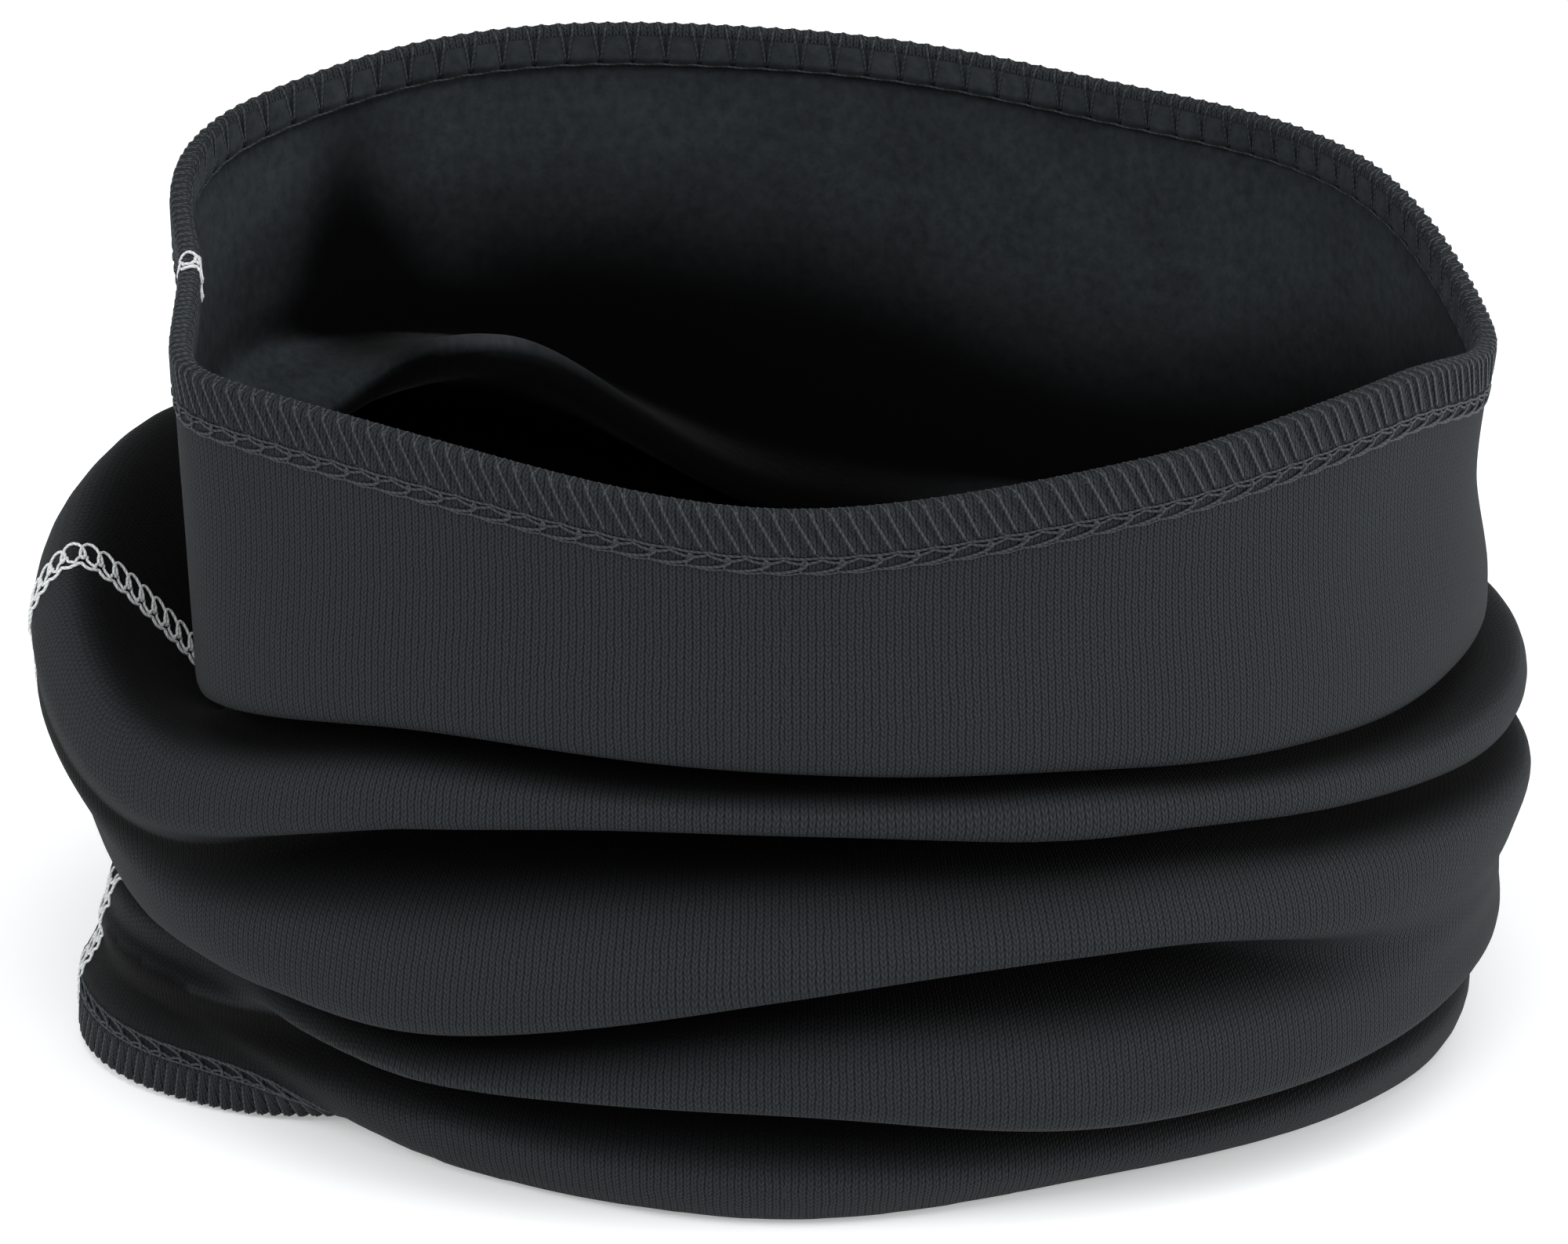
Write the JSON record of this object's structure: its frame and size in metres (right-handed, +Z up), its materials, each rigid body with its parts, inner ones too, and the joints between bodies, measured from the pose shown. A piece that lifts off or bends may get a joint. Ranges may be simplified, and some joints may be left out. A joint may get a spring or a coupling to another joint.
{
  "type": "neck gaiter",
  "caption": "Seamed tube of brushed-back stretch knit worn round the neck, slouched into horizontal folds under a standing collar, with turned and stitched hems.",
  "frame": {"origin": "middle of the footprint, on the floor the gaiter stands on", "axes": "+Z up through the neck opening; +X to the wearer's-view right, along the tube's wide side; -Y towards the front, where the collar dips"},
  "size_m": [0.2268, 0.1382, 0.143],
  "materials": {
    "brushed_knit": "matte fine knit outside, brushed fleece inside",
    "hem_thread": "soft sheen, textured polyester thread",
    "seam_thread": "soft sheen, textured polyester thread"
  },
  "bodies": {
    "root": {"knit_panel": "brushed_knit", "top_hem": "brushed_knit", "bottom_hem": "brushed_knit", "seam_needle_thread": "seam_thread", "seam_upper_looper_thread": "seam_thread", "seam_lower_looper_thread": "seam_thread", "top_hem_upper_looper_thread": "hem_thread", "top_hem_needle_thread": "hem_thread", "top_hem_chain_thread": "hem_thread", "top_hem_lower_looper_thread": "hem_thread", "bottom_hem_upper_looper_thread": "hem_thread", "bottom_hem_needle_thread": "hem_thread", "bottom_hem_chain_thread": "hem_thread", "bottom_hem_lower_looper_thread": "hem_thread"}
  },
  "joints": []
}
